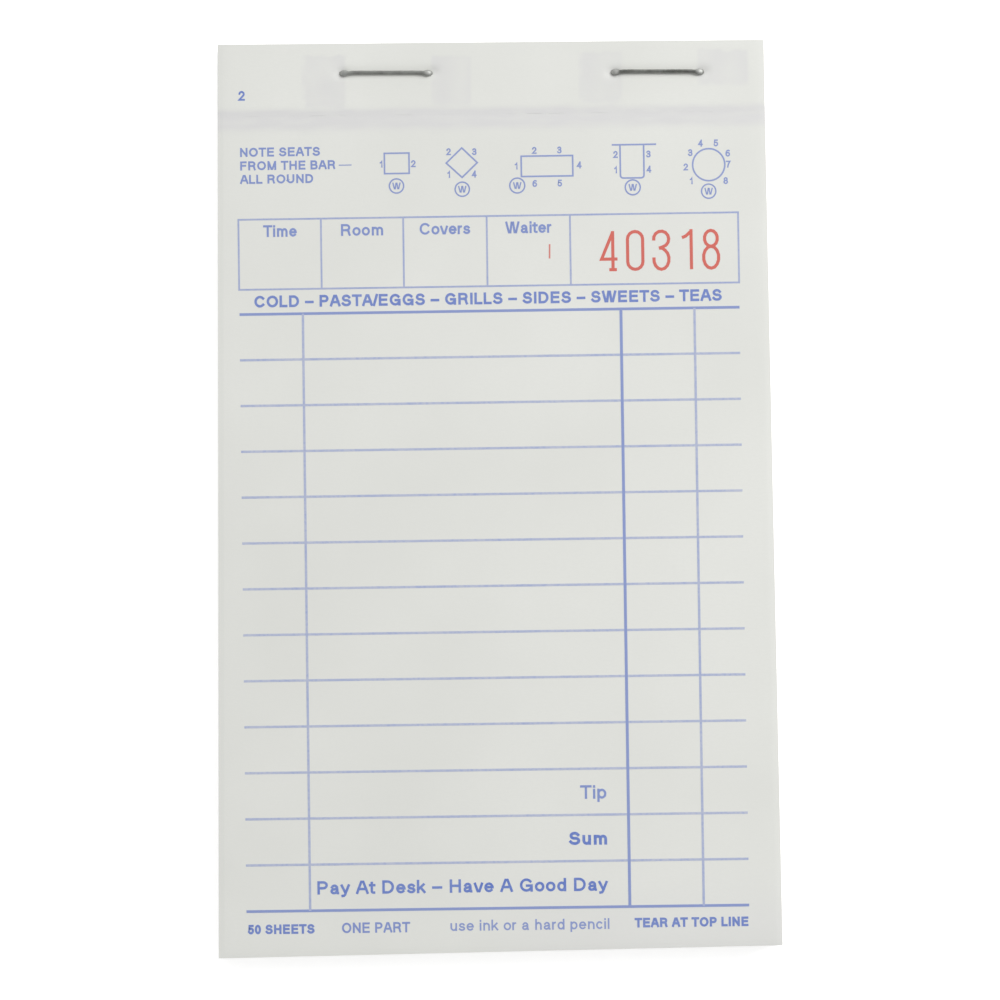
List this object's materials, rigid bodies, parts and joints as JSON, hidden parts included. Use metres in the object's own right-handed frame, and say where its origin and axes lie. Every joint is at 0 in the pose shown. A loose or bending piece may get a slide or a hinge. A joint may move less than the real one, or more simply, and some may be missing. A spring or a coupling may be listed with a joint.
{
  "type": "guest check pad",
  "caption": "Stapled pad of paper guest checks on a chipboard back, each check turning up at its perforated tear line.",
  "frame": {"origin": "under the middle of the pad's outline, on the underside of its backing board", "axes": "+X to the right of the printed face, +Y towards the stapled end, +Z out of the printed face"},
  "size_m": [0.0784, 0.1278, 0.0066],
  "materials": {
    "paper": "uncoated white writing paper",
    "chipboard": "grey pressed chipboard with flecks",
    "wire": "drawn steel stitching wire"
  },
  "bodies": {
    "stapled_base": {"backing_board": "chipboard", "staple_left": "wire", "staple_right": "wire", "stub_01": "paper", "stub_02": "paper", "stub_03": "paper", "stub_block_04_15": "paper", "stub_block_16_27": "paper", "stub_block_28_39": "paper", "stub_block_40_50": "paper"},
    "checks_03_to_50": {"check_03": "paper", "check_04": "paper", "check_05": "paper", "check_06": "paper", "check_07": "paper", "check_08": "paper", "check_09": "paper", "check_10": "paper", "check_11": "paper", "check_12": "paper", "check_13": "paper", "check_14": "paper", "check_15": "paper", "check_16": "paper", "check_17": "paper", "check_18": "paper", "check_19": "paper", "check_20": "paper", "check_21": "paper", "check_22": "paper", "check_23": "paper", "check_24": "paper", "check_25": "paper", "check_26": "paper", "check_27": "paper", "check_28": "paper", "check_29": "paper", "check_30": "paper", "check_31": "paper", "check_32": "paper", "check_33": "paper", "check_34": "paper", "check_35": "paper", "check_36": "paper", "check_37": "paper", "check_38": "paper", "check_39": "paper", "check_40": "paper", "check_41": "paper", "check_42": "paper", "check_43": "paper", "check_44": "paper", "check_45": "paper", "check_46": "paper", "check_47": "paper", "check_48": "paper", "check_49": "paper", "check_50": "paper"},
    "second_check": {"check_02": "paper"},
    "top_check": {"check_01": "paper"}
  },
  "joints": [
    {"name": "lift_rest_of_pad", "type": "hinge", "parent": "stapled_base", "child": "checks_03_to_50", "pos_m": [0, 0.0535, 0.006], "axis": [-1, 0, 0], "range_deg": [0, 18]},
    {"name": "turn_second_check", "type": "hinge", "parent": "checks_03_to_50", "child": "second_check", "pos_m": [0, 0.0535, 0.006], "axis": [-1, 0, 0], "range_deg": [0, 22]},
    {"name": "turn_top_check", "type": "hinge", "parent": "second_check", "child": "top_check", "pos_m": [0, 0.0535, 0.006], "axis": [-1, 0, 0], "range_deg": [0, 130]}
  ]
}
